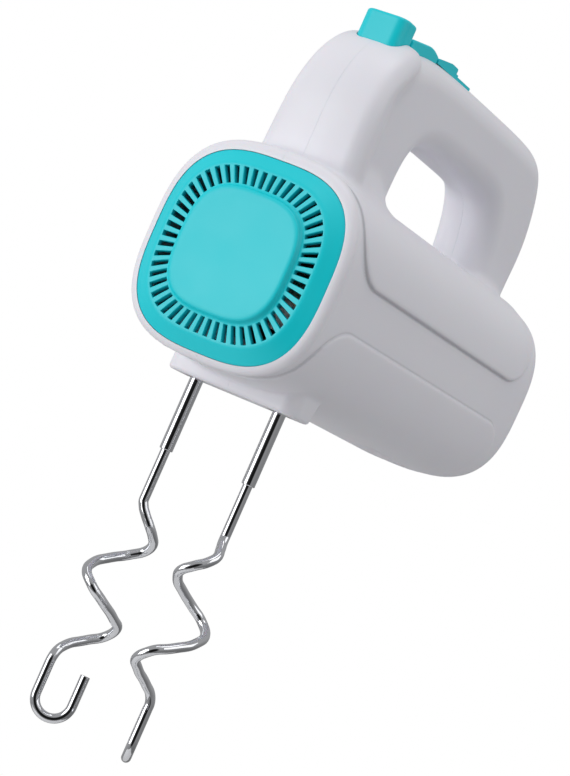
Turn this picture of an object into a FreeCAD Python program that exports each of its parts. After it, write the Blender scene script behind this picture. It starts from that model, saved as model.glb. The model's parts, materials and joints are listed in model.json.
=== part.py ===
import FreeCAD, Part
import math
import os

from FreeCAD import Vector

# Hand mixer with two dough hooks. Lengths are in millimetres.
# Working frame: x to the right seen from the front, y from the front cover to the rear,
# z up, with (0, 0, 0) at the centre of the front cover. Everything is moved at the end so
# that the centre of the hand grip is the origin.
GRIP_CENTRE = Vector(0, 123, 95.9)

# housing
HALF_WIDTH = 45.0
HALF_HEIGHT = 45.0
LENGTH = 230.0
CORNER = 28.0
END_ROUND = 22.0
RIM_ROUND = 4.0
WALL = 2.5
COVER_HALF = 41.0
COVER_CORNER = 26.0
COVER_GAP = 0.1
CHIN_HALF = 30.0
CHIN_FRONT = 33.5
CHIN_REAR = 54.0
CHIN_BOTTOM = -48.6

# handle
GRIP_HALF = 15.0
COLUMN_HALF = 23.0
COLUMN_FRONT = 13.0
COLUMN_CORNER = 10.0
GRIP_TOP = 112.8
HANDLE_REAR = 216.0
WINDOW_FRONT = 72.0
WINDOW_REAR = 174.0
WINDOW_SILL = 45.0
WINDOW_TOP = 79.0
LOOP_ROUND = 9.5
WINDOW_ROUND = 6.5

# gear train
SPINDLE_X = 20.5
SPINDLE_Y = 44.5
SPINDLE_R = 5.0
SPINDLE_TOP = 8.6
SPINDLE_BOTTOM = -47.6
RUNNING = 0.05
WHEEL_TEETH = 32
WHEEL_TIP_R = 16.1
WHEEL_ROOT_R = 13.9
WORM_TIP_R = 4.2
WORM_ROOT_R = 3.1
WORM_PITCH = math.pi
SHAFT_R = 2.5

# hooks
SHANK_R = 2.85
WIRE_R = 2.05
SHANK_TOP = -8.1
SHANK_END = -80.0
# stations of the bent wire: depth under the sockets, offset in the end loop's plane, offset across it
HOOK_STATIONS = ((53.0, 0.0, 0.0), (56.0, 1.1, 0.0), (59.0, 3.4, -0.3), (62.0, 6.2, -0.4),
                 (65.5, 9.1, 2.2), (69.0, 10.6, 6.8), (72.5, 8.9, 10.7), (76.5, 3.5, 10.6),
                 (80.5, -3.1, 6.5), (84.5, -8.3, 1.1), (88.5, -9.4, -4.8), (93.0, -5.0, -8.5),
                 (97.5, 1.5, -6.0), (102.0, 7.6, 1.0), (106.5, 10.8, 9.0), (111.0, 7.9, 12.8),
                 (115.5, 1.2, 10.6), (120.0, -5.3, 5.6), (123.5, -7.6, 2.1), (127.0, -8.3, 0.8),
                 (130.0, -8.4, 0.8))
BEND_R = 7.8
BEND_DEPTH = 141.7
TIP_DEPTH = 128.3
LEFT_PHASE = 27.8
RIGHT_PHASE = 297.8

# ejector and switches
EJECT_Y = 36.0
EJECT_HALF = 10.3
EJECT_FRONT = 28.8
EJECT_BACK = 42.6
EJECT_TOP = 116.0
EJECT_CORNER = 5.0
STEM_R = 3.0
SHELF_Z = 62.0
TURBO_FRONT = 45.6
TURBO_BACK = 71.2
TURBO_BASE = 101.4
BOARD_Z = 94.0
BEZEL_FRONT = 71.65
BEZEL_BACK = 111.6
BEZEL_BOTTOM = 111.3
BEZEL_TOP = 112.7

# screws: y, z, depth of the head seat below the split plane
SCREWS = ((24.0, 72.0, 10.0), (197.0, 72.0, 8.0), (76.0, -36.5, 20.0),
          (192.0, -30.0, 20.0), (150.0, 37.0, 20.0), (16.0, -33.0, 20.0))


def biarc_joint(p0, t0, p1, t1):
    """Point and direction where two arcs meet that join p0 to p1 with the given end directions."""
    chord = p1 - p0
    total = t0 + t1
    a = 2 * (1 - t0.dot(t1))
    b = 2 * chord.dot(total)
    c = -chord.dot(chord)
    reach = -c / b
    if abs(a) > 1e-9:
        reach = (-b + math.sqrt(b * b - 4 * a * c)) / (2 * a)
    q0 = p0 + t0 * reach
    q1 = p1 - t1 * reach
    direction = q1 - q0
    direction.normalize()
    return (q0 + q1) * 0.5, direction


def tangent_arc(start, direction, end):
    """Arc that leaves start along direction and ends at end, or a line where it is straight."""
    chord = end - start
    if chord.getAngle(direction) < 1e-4:
        return Part.LineSegment(start, end).toShape()
    normal = direction.cross(chord)
    normal.normalize()
    inward = normal.cross(direction)
    radius = chord.dot(chord) / (2 * chord.dot(inward))
    centre = start + inward * radius
    middle = (start + end) * 0.5 - centre
    middle.normalize()
    return Part.Arc(start, centre + middle * radius, end).toShape()


def arc_chain(place, direction, stops):
    """Smooth chain of arcs along the curve given by its place and direction at each stop."""
    edges = []
    for a, b in zip(stops[:-1], stops[1:]):
        joint, along = biarc_joint(place(a), direction(a), place(b), direction(b))
        edges.append(tangent_arc(place(a), direction(a), joint))
        edges.append(tangent_arc(joint, along, place(b)))
    return edges


def swept_wire(edges, radius, start, direction):
    section = Part.Face(Part.Wire(Part.makeCircle(radius, start, direction)))
    return Part.Wire(edges).makePipe(section)


def box(x0, x1, y0, y1, z0, z1):
    return Part.makeBox(x1 - x0, y1 - y0, z1 - z0, Vector(x0, y0, z0))


def rod(radius, start, end):
    a = Vector(*start)
    b = Vector(*end)
    return Part.makeCylinder(radius, (b - a).Length, a, b - a)


def tube(outer, inner, start, end):
    return rod(outer, start, end).cut(rod(inner, start, end))


def fuse_all(shapes):
    result = shapes[0]
    if len(shapes) > 1:
        result = shapes[0].multiFuse(shapes[1:])
    return result.removeSplitter()


def mirrored(shape):
    return shape.mirror(Vector(0, 0, 0), Vector(1, 0, 0))


def rounded_wire(half_x, half_z, corner, y):
    """Rounded rectangle in the plane y, centred on the y axis."""
    r = corner
    d = r * (1 - math.sqrt(0.5))
    points = []
    for sx, sz in ((1, 1), (-1, 1), (-1, -1), (1, -1)):
        on_side = Vector(sx * half_x, y, sz * (half_z - r))
        middle = Vector(sx * (half_x - d), y, sz * (half_z - d))
        on_end = Vector(sx * (half_x - r), y, sz * half_z)
        if sx * sz > 0:
            points.append((on_side, middle, on_end))
        else:
            points.append((on_end, middle, on_side))
    edges = []
    for i, (a, m, b) in enumerate(points):
        edges.append(Part.Arc(a, m, b).toShape())
        edges.append(Part.LineSegment(b, points[(i + 1) % 4][0]).toShape())
    return Part.Wire(edges)


def rounded_prism(half_x, half_z, corner, y0, y1):
    face = Part.Face(rounded_wire(half_x, half_z, corner, y0))
    return face.extrude(Vector(0, y1 - y0, 0))


def polygon_prism(points, direction):
    wire = Part.makePolygon([Vector(*p) for p in points] + [Vector(*points[0])])
    return Part.Face(wire).extrude(Vector(*direction))


def edges_where(shape, test):
    return [e for e in shape.Edges if test(e)]


def edges_in_plane(shape, axis, value, tolerance=1e-3):
    def test(edge):
        low = getattr(edge.BoundBox, axis + "Min")
        high = getattr(edge.BoundBox, axis + "Max")
        return abs(low - value) < tolerance and abs(high - value) < tolerance
    return edges_where(shape, test)


def corner_wire(points, radii, x):
    """Closed wire in the plane x through (y, z) points, each corner rounded by its radius."""
    count = len(points)
    starts = []
    ends = []
    middles = []
    for i, (y, z) in enumerate(points):
        p = Vector(x, y, z)
        before = Vector(x, *points[i - 1]) - p
        after = Vector(x, *points[(i + 1) % count]) - p
        before.normalize()
        after.normalize()
        half = before.getAngle(after) / 2
        run = radii[i] / math.tan(half)
        bisector = before + after
        bisector.normalize()
        centre = p + bisector * (radii[i] / math.sin(half))
        starts.append(p + before * run)
        ends.append(p + after * run)
        middles.append(centre - bisector * radii[i])
    edges = []
    for i in range(count):
        edges.append(Part.Arc(starts[i], middles[i], ends[i]).toShape())
        edges.append(Part.LineSegment(ends[i], starts[(i + 1) % count]).toShape())
    return Part.Wire(edges)


def side_prism(points, radii, half):
    face = Part.Face(corner_wire(points, radii, -half))
    return face.extrude(Vector(2 * half, 0, 0))


def barrel(inset):
    """The motor barrel; inset is 0 for the outside and the wall thickness for the inside."""
    shape = rounded_prism(HALF_WIDTH - inset, HALF_HEIGHT - inset, CORNER - inset,
                          inset, LENGTH - inset)
    shape = shape.makeFillet(END_ROUND - inset, edges_in_plane(shape, "Y", LENGTH - inset))
    if inset == 0:
        shape = shape.makeFillet(RIM_ROUND, edges_in_plane(shape, "Y", 0))
    return shape


def chin(inset):
    """Boss under the barrel that carries the two spindle sockets."""
    shape = box(-CHIN_HALF + inset, CHIN_HALF - inset, CHIN_FRONT + inset, CHIN_REAR - inset,
                CHIN_BOTTOM + inset, -25)
    upright = edges_where(shape, lambda e: e.BoundBox.ZLength > 10)
    shape = shape.makeFillet(6.5 - inset, upright)
    if inset == 0:
        shape = shape.makeFillet(1.5, edges_in_plane(shape, "Z", CHIN_BOTTOM))
    return shape


def loop_profile(inset, half):
    """Side view of the handle, extruded over the given half width."""
    front = COLUMN_FRONT + inset
    top = GRIP_TOP - inset
    rear = HANDLE_REAR - inset
    slope = inset * 0.7
    points = ((front, 30), (front, 76 - inset * 0.3), (32 + slope, 104.5 - slope),
              (62, top), (rear, top), (rear - 3, 30))
    return side_prism(points, (1, 24, 22, 36, 35 - inset, 1), half)


def column_plan(inset):
    """Plan of the broad front column, narrowing into the grip."""
    w = COLUMN_HALF - inset
    g = GRIP_HALF - inset
    front = COLUMN_FRONT + inset
    d = COLUMN_CORNER - inset
    k = d * (1 - math.sqrt(0.5))
    z = 30
    right = [Vector(w - d, front, z), Vector(w - k, front + k, z), Vector(w, front + d, z)]
    left = [Vector(-p.x, p.y, z) for p in right]
    waist = WINDOW_FRONT - 12
    rear = WINDOW_FRONT - 8.5
    edges = [Part.LineSegment(left[0], right[0]).toShape(),
             Part.Arc(*right).toShape(),
             Part.LineSegment(right[2], Vector(g, waist, z)).toShape(),
             Part.LineSegment(Vector(g, waist, z), Vector(g, rear, z)).toShape(),
             Part.LineSegment(Vector(g, rear, z), Vector(-g, rear, z)).toShape(),
             Part.LineSegment(Vector(-g, rear, z), Vector(-g, waist, z)).toShape(),
             Part.LineSegment(Vector(-g, waist, z), left[2]).toShape(),
             Part.Arc(left[2], left[1], left[0]).toShape()]
    return Part.Face(Part.Wire(edges)).extrude(Vector(0, 0, 100))


def window(inset):
    points = ((WINDOW_FRONT - inset, WINDOW_SILL - inset), (WINDOW_REAR + inset, WINDOW_SILL - inset),
              (WINDOW_REAR + inset, WINDOW_TOP + inset), (WINDOW_FRONT - inset, WINDOW_TOP + inset))
    radii = (5 + inset, 5 + inset, 17 + inset, 19 + inset)
    return side_prism(points, radii, 60)


def handle(inset):
    """Front column, grip and rear column as one closed loop."""
    column = loop_profile(inset, 40).common(column_plan(inset))
    side = GRIP_HALF - inset
    loop = loop_profile(inset, side)
    loop = loop.common(box(-60, 60, 50, 250, 20, 200))
    outer = edges_where(loop, lambda e: abs(abs(e.CenterOfMass.x) - side) < 1e-3
                        and e.BoundBox.XLength < 1e-3 and e.CenterOfMass.y > 51
                        and e.CenterOfMass.z > 31)
    loop = loop.makeFillet(LOOP_ROUND - inset, outer).cut(window(inset))
    inner = edges_where(loop, lambda e: abs(abs(e.CenterOfMass.x) - side) < 1e-3
                        and e.BoundBox.XLength < 1e-3 and in_window(e.CenterOfMass, inset))
    loop = loop.makeFillet(WINDOW_ROUND - inset, inner)
    return column.cut(window(inset)).fuse(loop)


def in_window(point, inset):
    """True for a point on the window's outline, seen from the side."""
    grow = inset + 0.1
    return (WINDOW_FRONT - grow < point.y < WINDOW_REAR + grow
            and WINDOW_SILL - grow < point.z < WINDOW_TOP + grow)


def housing_outside():
    body = fuse_all([barrel(0), chin(0)])
    return fuse_all([body, handle(0)])


def housing_inside():
    deep = rounded_prism(COVER_HALF - 3, COVER_HALF - 3, COVER_CORNER - 3, -5, 10)
    body = barrel(WALL)
    body = body.cut(box(-60, 60, -5, 5, -60, 60))
    body = fuse_all([body, chin(WALL), deep])
    return fuse_all([body, handle(WALL)])


def section_web(y0, y1, hole):
    """Cross wall joined to the inside of the barrel."""
    web = rounded_prism(HALF_WIDTH - 1, HALF_HEIGHT - 1, CORNER - 1, y0, y1)
    vents = [rod(4.5, (sx * 33, y0 - 1, sz * 26), (sx * 33, y1 + 1, sz * 26))
             for sx in (-1, 1) for sz in (-1, 1)]
    return web.cut(hole).cut(Part.makeCompound(vents))


def screw_boss(y, z):
    return rod(5.0, (-60, y, z), (60, y, z))


def screw_cutter(y, z, seat):
    return Part.makeCompound([rod(3.2, (-70, y, z), (-seat, y, z)),
                              rod(1.6, (-seat - 1, y, z), (0, y, z)),
                              rod(1.25, (-1, y, z), (10, y, z))])


def shell_screw(y, z, seat):
    head = rod(2.9, (-seat - 2.2, y, z), (-seat, y, z))
    head = head.makeFillet(0.7, edges_in_plane(head, "X", -seat - 2.2))
    shank = rod(1.25, (-seat - 0.5, y, z), (9, y, z))
    recess = Part.makeCompound([box(-seat - 3, -seat - 1.0, y - 0.35, y + 0.35, z - 1.9, z + 1.9),
                                box(-seat - 3, -seat - 1.0, y - 1.9, y + 1.9, z - 0.35, z + 0.35)])
    return head.fuse(shank).cut(recess)


def shell_pair():
    outside = housing_outside()
    inside = housing_inside()
    stator_hole = rounded_prism(27.0, 27.0, 9.0, 80, 120)
    fan_hole = rod(26.0, (0, 60, 0), (0, 70, 0))
    bracket_hole = box(-22, 22, 130, 140, -13, 13)
    column_in = loop_profile(WALL - 0.5, 40).common(column_plan(WALL - 0.5))
    shelf = column_in.common(box(-60, 60, 0, WINDOW_FRONT - 1.5, SHELF_Z, SHELF_Z + 2.5))
    shelf = shelf.cut(rod(STEM_R + 0.3, (0, EJECT_Y, SHELF_Z - 1), (0, EJECT_Y, SHELF_Z + 5)))
    tray = barrel(1.0).common(box(-60, 60, 150, 218, 14.0, 16.4))
    rail = box(9.5, 14, 52, 116, BOARD_Z - 2, BOARD_Z)
    rails = [rail, mirrored(rail)]
    rings = [tube(9.2, 7.0, (s * SPINDLE_X, SPINDLE_Y, CHIN_BOTTOM + WALL - 0.5),
                  (s * SPINDLE_X, SPINDLE_Y, -40.0)) for s in (-1, 1)]
    gland_seat = rod(13.0, (0, 221.5, 20), (0, 228, 20)).common(barrel(1.0))
    ribs = [section_web(65.0, 67.5, fan_hole), section_web(88, 91, stator_hole),
            section_web(105, 108, stator_hole), section_web(134.5, 137, bracket_hole),
            shelf, tray, gland_seat] + rails + rings
    bosses = [screw_boss(y, z) for y, z, _ in SCREWS]
    shell = outside.cut(inside)
    shell = shell.multiFuse(ribs).multiFuse([b.common(outside) for b in bosses])
    cutters = [screw_cutter(*s) for s in SCREWS]
    cutters.append(rounded_prism(COVER_HALF + COVER_GAP, COVER_HALF + COVER_GAP,
                                 COVER_CORNER + COVER_GAP, -5, 2.6))
    for s in (-1, 1):
        x = s * SPINDLE_X
        cutters.append(rod(5.6, (x, SPINDLE_Y, -60), (x, SPINDLE_Y, -44)))
        cutters.append(rod(7.0, (x, SPINDLE_Y, CHIN_BOTTOM + WALL), (x, SPINDLE_Y, -44)))
    cutters.append(box(-EJECT_HALF - 0.3, EJECT_HALF + 0.3, EJECT_FRONT - 0.3, EJECT_BACK + 0.3,
                       90, 130))
    cutters.append(box(-8.3, 8.3, TURBO_FRONT - 0.3, TURBO_BACK + 0.3, 102, 130))
    cutters.append(box(-2.8, 2.8, 78.5, 103.5, 102, 130))
    cutters.append(box(-8.25, 8.25, TURBO_BACK, BEZEL_BACK + 0.05, BEZEL_BOTTOM, 130))
    cutters.append(rod(6.0, (0, 215, 20), (0, 240, 20)))
    cutters.append(rod(9.6, (0, 226.5, 20), (0, 240, 20)))
    for i in range(8):
        y = 150 + 6.5 * i
        cutters.append(box(-15, 15, y, y + 2.6, -60, -40))
    shell = shell.cut(Part.makeCompound(cutters))
    left = shell.common(box(-80, 0, -20, 260, -80, 160))
    right = shell.common(box(0, 80, -20, 260, -80, 160))
    return largest(left), largest(right)


def largest(shape):
    return max(shape.Solids, key=lambda s: s.Volume)


def front_grille():
    """Domed cover: flat edge, sloping band, ring of slots and a raised centre pad."""
    plate = rounded_prism(COVER_HALF, COVER_HALF, COVER_CORNER, 0.2, 2.5)
    def layer(sizes):
        wires = [rounded_wire(h, h, c, y) for h, c, y in sizes]
        return Part.makeLoft(wires, True, True)
    dome = layer(((COVER_HALF, COVER_CORNER, 0.2), (37.0, 20.5, -3.2), (27.0, 14.0, -4.4)))
    pad = layer(((23.0, 11.0, -4.0), (23.0, 11.0, -5.9), (22.0, 10.3, -6.6)))
    hollow = layer(((36.5, 20.0, 2.6), (34.8, 19.0, -1.2), (21.0, 10.0, -2.2)))
    cover = fuse_all([plate, dome, pad]).cut(hollow)
    slots = []
    count = 52
    side = count // 4
    for quarter in range(4):
        for i in range(side):
            u = (i + 0.5) / side * 2 - 1
            angle = math.radians(45 * u)
            reach = 32.0 * (1 - 0.12 * u * u)
            spread = math.sin(angle) / math.sin(math.pi / 4)
            px = 25.0 * spread
            slot = box(-1.0, 1.0, -12, 6, -4.2, 4.2)
            slot.rotate(Vector(0, 0, 0), Vector(0, 1, 0), math.degrees(angle) * 0.95)
            slot.translate(Vector(px, 0, reach))
            slot.rotate(Vector(0, 0, 0), Vector(0, 1, 0), 90 * quarter)
            slots.append(slot)
    return cover.cut(Part.makeCompound(slots))


def worm_wheel():
    tooth = math.pi * 2 / WHEEL_TEETH
    points = []
    for i in range(WHEEL_TEETH):
        a = i * tooth
        for f, r in ((-0.30, WHEEL_ROOT_R), (-0.14, WHEEL_TIP_R), (0.14, WHEEL_TIP_R),
                     (0.30, WHEEL_ROOT_R)):
            points.append((r * math.cos(a + f * tooth), r * math.sin(a + f * tooth), -4))
    blank = polygon_prism(points, (0, 0, 8))
    web = tube(12.0, 7.6, (0, 0, 1.5), (0, 0, 5)).fuse(tube(12.0, 7.6, (0, 0, -5), (0, 0, -1.5)))
    hub = rod(7.6, (0, 0, -6), (0, 0, 4.8))
    holes = [rod(1.4, (9.8 * math.cos(a), 9.8 * math.sin(a), -3), (9.8 * math.cos(a), 9.8 * math.sin(a), 3))
             for a in [math.radians(60 * i) for i in range(6)]]
    wheel = blank.cut(web).fuse(hub).cut(rod(SPINDLE_R, (0, 0, -10), (0, 0, 10)))
    return wheel.cut(Part.makeCompound(holes))


def spindle():
    shape = tube(SPINDLE_R, SHANK_R + RUNNING, (0, 0, SPINDLE_BOTTOM), (0, 0, SPINDLE_TOP))
    collar = tube(6.4, SPINDLE_R - 0.5, (0, 0, -38.9), (0, 0, -37.4))
    groove = tube(6, 4.5, (0, 0, -29.0), (0, 0, -27.6))
    slot = box(-6, 6, -0.65, 0.65, SPINDLE_BOTTOM - 1, -37.9)
    slot = slot.common(rod(4.85, (0, 0, -60), (0, 0, -20)))
    keyway = box(-6, 6, -0.65, 0.65, SPINDLE_BOTTOM - 1, -39.5)
    return shape.fuse(collar).cut(groove).cut(slot).cut(keyway)


def detent_clip():
    ring = tube(5.8, 4.6, (0, 0, -28.8), (0, 0, -27.8))
    return ring.cut(box(0, 8, -1.5, 1.5, -30, -26))


def hook_sleeve():
    shape = tube(SHANK_R, WIRE_R, (0, 0, SHANK_END), (0, 0, SHANK_TOP))
    rims = edges_where(shape, lambda e: e.BoundBox.ZLength < 1e-6 and e.BoundBox.XLength > 2 * WIRE_R + 0.5)
    shape = shape.makeFillet(0.4, rims)
    wings = box(-4.6, 4.6, -0.5, 0.5, -46.0, -39.8).cut(rod(WIRE_R, (0, 0, -60), (0, 0, -20)))
    return shape.fuse(wings)


def hook_wire(hand):
    """Bent wire with an open end loop; hand is 1 for a right-handed coil and -1 for a left-handed one."""

    def place(depth, offset, across):
        return Vector(offset, -hand * across, CHIN_BOTTOM - depth)

    top = Vector(0, 0, SHANK_TOP - 1.0)
    points = [place(*station) for station in HOOK_STATIONS]

    def direction(i):
        if i in (0, len(points) - 1):
            return Vector(0, 0, -1)
        before = points[i] - points[i - 1]
        after = points[i + 1] - points[i]
        ratio = after.Length / before.Length
        tangent = before * ratio + after * (1 / ratio)
        tangent.normalize()
        return tangent

    leg, across = HOOK_STATIONS[-1][1:]
    tip = leg + 2 * BEND_R
    bend_start = place(BEND_DEPTH, leg, across)
    bend_low = place(BEND_DEPTH + BEND_R, leg + BEND_R, across)
    bend_end = place(BEND_DEPTH, tip, across)
    edges = [Part.LineSegment(top, points[0]).toShape()]
    edges += arc_chain(points.__getitem__, direction, range(len(points)))
    edges += [Part.LineSegment(points[-1], bend_start).toShape(),
              Part.Arc(bend_start, bend_low, bend_end).toShape(),
              Part.LineSegment(bend_end, place(TIP_DEPTH, tip, across)).toShape()]
    return swept_wire(edges, WIRE_R, top, Vector(0, 0, -1))


def worm():
    core = rod(WORM_ROOT_R, (0, SPINDLE_Y - 13, 0), (0, SPINDLE_Y + 13, 0))
    length = 24.0
    helix = Part.makeHelix(WORM_PITCH, length, WORM_ROOT_R)
    depth = WORM_TIP_R - WORM_ROOT_R
    r0 = WORM_ROOT_R - 0.25
    profile = Part.makePolygon([Vector(r0, 0, -0.95), Vector(r0 + depth + 0.25, 0, -0.45),
                                Vector(r0 + depth + 0.25, 0, 0.45), Vector(r0, 0, 0.95),
                                Vector(r0, 0, -0.95)])
    thread = Part.Wire(helix).makePipeShell([profile], True, True)
    thread.rotate(Vector(0, 0, 0), Vector(1, 0, 0), -90)
    thread.translate(Vector(0, SPINDLE_Y - length / 2, 0))
    shape = core.fuse(thread)
    return shape.cut(rod(SHAFT_R, (0, 0, 0), (0, 100, 0)))


def fan():
    disc = rod(24.0, (0, 73.6, 0), (0, 75.2, 0))
    hub = rod(6.0, (0, 68.6, 0), (0, 76.0, 0))
    ring = tube(24.0, 22.8, (0, 71.6, 0), (0, 75.2, 0))
    parts = [disc, hub, ring]
    for i in range(9):
        blade = box(4.5, 23.4, 68.8, 74.2, -0.6, 0.6)
        blade.rotate(Vector(10, 0, 0), Vector(0, 1, 0), 16)
        blade.rotate(Vector(0, 0, 0), Vector(0, 1, 0), 40 * i)
        parts.append(blade)
    return fuse_all(parts).cut(rod(SHAFT_R, (0, 0, 0), (0, 100, 0)))


def stator():
    stack = rounded_prism(27.0, 27.0, 9.0, 84, 112)
    stack = stack.cut(rod(15.3, (0, 80, 0), (0, 120, 0)))
    cutters = []
    for sx in (-1, 1):
        for sz in (-1, 1):
            x0, x1 = sorted((sx * 16.8, sx * 22.2))
            z0, z1 = sorted((sz * 13.8, sz * 22.2))
            cutters.append(box(x0, x1, 80, 120, z0, z1))
        x0, x1 = sorted((sx * 12.0, sx * 18.0))
        cutters.append(box(x0, x1, 80, 120, -4, 4))
    return stack.cut(Part.makeCompound(cutters))


def field_coil():
    loop = box(-22, 22, 78.2, 117.8, 14, 22)
    loop = loop.makeFillet(3.0, edges_where(loop, lambda e: e.BoundBox.ZLength > 7))
    return loop.cut(box(-17, 17, 83.8, 112.2, 10, 30))


def armature_core():
    core = rod(15.0, (0, 84, 0), (0, 112, 0)).cut(rod(SHAFT_R, (0, 80, 0), (0, 120, 0)))
    notches = []
    for i in range(12):
        notch = box(9.0, 16.0, 80, 120, -1.2, 1.2)
        notch.rotate(Vector(0, 0, 0), Vector(0, 1, 0), 30 * i)
        notches.append(notch)
    return core.cut(Part.makeCompound(notches))


def armature_windings():
    rings = []
    for y0, y1, outer in ((79.2, 83.9, 79.2), (112.1, 116.8, 116.8)):
        ring = tube(13.0, 4.2, (0, y0, 0), (0, y1, 0))
        rims = edges_where(ring, lambda e: abs(e.CenterOfMass.y - outer) < 1e-3
                           and e.BoundBox.XLength > 20)
        rings.append(ring.makeFillet(2.5, rims))
    bars = []
    for i in range(12):
        bar = box(9.2, 13.0, 82, 114, -1.05, 1.05)
        bar.rotate(Vector(0, 0, 0), Vector(0, 1, 0), 30 * i)
        bars.append(bar)
    return fuse_all(rings + bars)


def commutator():
    shape = tube(8.0, SHAFT_R, (0, 119, 0), (0, 129, 0))
    grooves = []
    for i in range(12):
        groove = box(7.2, 9.0, 118, 130, -0.3, 0.3)
        groove.rotate(Vector(0, 0, 0), Vector(0, 1, 0), 30 * i)
        grooves.append(groove)
    return shape.cut(Part.makeCompound(grooves))


def brush_holder():
    return box(10.0, 22.0, 120.0, 128.0, -5, 5).cut(box(9.0, 21.0, 121.4, 126.6, -3.6, 3.6))


def brush():
    block = box(8.1, 17.0, 121.5, 126.5, -3.5, 3.5)
    return block.cut(box(16.0, 18.0, 123.4, 124.6, -4, 4))


def brush_spring():
    return coil(1.6, 0.3, 4.0, 3, Vector(17.0, 124.0, 0), Vector(1, 0, 0))


def coil(radius, wire, length, turns, start, axis):
    """Compression spring from start along axis, its overall length including the wire."""
    rise = (length - 2 * wire) / (turns * 2 * math.pi)

    def place(angle):
        return Vector(radius * math.cos(angle), radius * math.sin(angle), rise * angle)

    def direction(angle):
        tangent = Vector(-radius * math.sin(angle), radius * math.cos(angle), rise)
        tangent.normalize()
        return tangent

    stops = [2 * math.pi * i / 4 for i in range(4 * turns + 1)]
    shape = swept_wire(arc_chain(place, direction, stops), wire, place(0), direction(0))
    turn = FreeCAD.Rotation(Vector(0, 0, 1), axis)
    shape.Placement = FreeCAD.Placement(start + axis * wire, turn)
    return shape


def rear_bracket():
    plate = box(-29, 29, 131, 134.5, -19, 19)
    plate = plate.makeFillet(5.0, edges_where(plate, lambda e: e.BoundBox.YLength > 3))
    arms = [box(12, 22, 117.5, 131.5, -8, -5), box(-22, -12, 117.5, 131.5, -8, -5)]
    boss = rod(9.0, (0, 131, 0), (0, 139, 0))
    return fuse_all([plate, boss] + arms).cut(rod(6.0, (0, 120, 0), (0, 145, 0)))


def gear_frame():
    top = box(-31, 31, 24.5, 65.0, 5.0, 8.0)
    rear = box(-30, 30, 62.0, 65.0, -17, 8.0)
    front = box(-11, 11, 24.5, 27.5, -11, 8.0)
    ribs = [box(-31, -29, 24.5, 65, 8, 12), box(29, 31, 24.5, 65, 8, 12)]
    frame = fuse_all([top, rear, front] + ribs)
    holes = [rod(5.5, (0, 20, 0), (0, 70, 0))]
    for s in (-1, 1):
        holes.append(rod(SPINDLE_R + RUNNING, (s * SPINDLE_X, SPINDLE_Y, 0),
                         (s * SPINDLE_X, SPINDLE_Y, 20)))
    holes.append(rod(5.0, (0, SPINDLE_Y, 0), (0, SPINDLE_Y, 20)))
    return frame.cut(Part.makeCompound(holes))


def bush(outer, inner, start, end, flange=0.0):
    shape = tube(outer, inner, start, end)
    if flange:
        a = Vector(*start)
        b = Vector(*end)
        direction = (b - a)
        direction.normalize()
        tip = b + direction * 1.0
        shape = shape.fuse(tube(flange, inner, tuple(b), tuple(tip)))
    return shape


def ejector_button():
    block = box(-EJECT_HALF, EJECT_HALF, EJECT_FRONT, EJECT_BACK, 88.0, EJECT_TOP)
    block = block.makeFillet(EJECT_CORNER, edges_where(block, lambda e: e.BoundBox.ZLength > 20))
    block = block.makeFillet(1.2, edges_in_plane(block, "Z", EJECT_TOP))
    flange = box(-EJECT_HALF - 2, EJECT_HALF + 2, EJECT_FRONT - 1.5, EJECT_BACK + 1.5, 88.0, 90.0)
    return block.fuse(flange).cut(rod(STEM_R, (0, EJECT_Y, 80), (0, EJECT_Y, 94)))


def ejector_fork():
    stem = rod(STEM_R, (0, EJECT_Y, 17.0), (0, EJECT_Y, 94.0))
    bar = box(-24, 24, 33.0, 48.5, 16.0, 19.5)
    bar = bar.makeFillet(4.0, edges_where(bar, lambda e: e.BoundBox.ZLength > 3))
    foot = Part.makeCone(7.0, STEM_R, 6.0, Vector(0, EJECT_Y, 19.5))
    pins = [rod(2.3, (s * SPINDLE_X, SPINDLE_Y, SHANK_TOP + 0.3), (s * SPINDLE_X, SPINDLE_Y, 17.0))
            for s in (-1, 1)]
    return fuse_all([stem, bar, foot] + pins)


def turbo_button():
    """Domed cap with a flange that stays under the housing wall."""
    y0, y1, base = TURBO_FRONT, TURBO_BACK, TURBO_BASE
    profile = ((y0, base), (y1, base), (y1, 113.7), (y1 - 7, 115.4), (y0, 112.2))
    cap = side_prism(profile, (0.4, 0.4, 1.0, 20.0, 1.5), 8.0)
    top_edges = edges_where(cap, lambda e: e.BoundBox.XLength < 1e-3 and e.CenterOfMass.z > 111)
    cap = cap.makeFillet(0.8, top_edges).fuse(box(-9.6, 9.6, y0 + 4, y1, base, base + 1.2))
    return cap.cut(box(-6.5, 6.5, y0 + 1.6, y1 - 1.6, base - 3, base + 6.1)).fuse(
        box(-2.0, 2.0, 58.0, 62.0, base + 0.2, base + 7.0))


def switch_bezel():
    plate = box(-8.2, 8.2, BEZEL_FRONT, BEZEL_BACK, BEZEL_BOTTOM, BEZEL_TOP)
    upright = edges_where(plate, lambda e: e.BoundBox.ZLength > 1 and e.CenterOfMass.y > 100)
    plate = plate.makeFillet(4.5, upright)
    return plate.cut(box(-2.8, 2.8, 78.5, 103.5, BEZEL_BOTTOM - 3, BEZEL_TOP + 3))


def speed_slider():
    z = BEZEL_TOP + 0.05
    skirt = box(-7.6, 7.6, 72.6, 96.4, z, z + 0.9)
    skirt = skirt.makeFillet(2.5, edges_where(skirt, lambda e: e.BoundBox.ZLength > 0.5))
    ridge_profile = ((75.0, z + 0.6), (93.6, z + 0.6), (93.6, z + 3.3), (87.0, z + 3.4),
                     (75.0, z + 1.3))
    ridge = side_prism(ridge_profile, (0.1, 0.2, 0.8, 12.0, 0.2), 7.0)
    neck = box(-2.5, 2.5, 79.5, 87.0, 104.0, z + 0.5)
    return fuse_all([skirt, ridge, neck])


def slider_contact():
    return box(-3.4, 3.4, 79.0, 87.5, 102.6, 104.0)


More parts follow.
